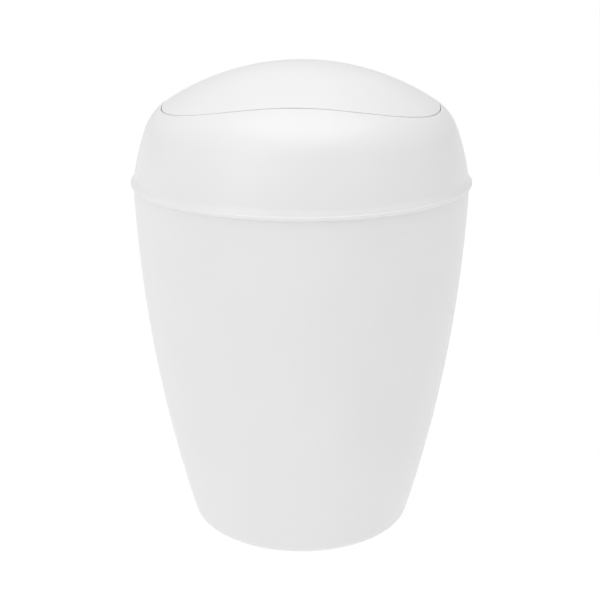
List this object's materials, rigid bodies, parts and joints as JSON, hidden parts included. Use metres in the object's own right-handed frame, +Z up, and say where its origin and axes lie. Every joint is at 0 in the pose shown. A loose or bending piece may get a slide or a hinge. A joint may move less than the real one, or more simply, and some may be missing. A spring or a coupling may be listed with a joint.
{
  "type": "swing-top waste bin",
  "caption": "Round tapered waste bin with a domed lift-off lid, a weighted oval swing flap, a bag ring inside the rim and rubber feet.",
  "frame": {"origin": "centre of the base, on the floor that the foot pads stand on", "axes": "+Z up the bin, +X to the right along the flap's pivot, -Y towards the front"},
  "size_m": [0.254, 0.254, 0.3584],
  "materials": {
    "outer_shell": "satin moulded polypropylene, white",
    "inner_shell": "fine matt moulded polypropylene, white",
    "rubber": "matt moulded rubber, grey",
    "bush_plastic": "smooth natural acetal",
    "steel": "zinc-plated turned steel"
  },
  "bodies": {
    "bucket": {"bucket": "outer_shell", "foot_pad_1": "rubber", "foot_pad_2": "rubber", "foot_pad_3": "rubber", "foot_pad_4": "rubber"},
    "bag_ring": {"bag_ring": "inner_shell"},
    "lid": {"lid_shell": "outer_shell", "bearing_bush_right": "bush_plastic", "bearing_bush_left": "bush_plastic", "stop_buffer_front_right": "rubber", "stop_buffer_rear_right": "rubber", "stop_buffer_front_left": "rubber", "stop_buffer_rear_left": "rubber"},
    "flap": {"flap_cover": "outer_shell", "flap_liner": "inner_shell", "flap_screws": "steel", "pivot_pin_right": "steel", "pivot_pin_left": "steel", "counterweight_right": "steel", "counterweight_left": "steel", "weight_cap_right": "inner_shell", "weight_cap_left": "inner_shell"}
  },
  "joints": [
    {"name": "bag_ring_lift", "type": "slide", "parent": "bucket", "child": "bag_ring", "axis": [0, 0, 1], "range_m": [0, 0.08]},
    {"name": "lid_lift", "type": "slide", "parent": "bag_ring", "child": "lid", "axis": [0, 0, 1], "range_m": [0, 0.12]},
    {"name": "flap_swing", "type": "hinge", "parent": "lid", "child": "flap", "pos_m": [0, 0, 0.31341], "axis": [1, 0, 0], "range_deg": [-73.5, 73.5]}
  ]
}
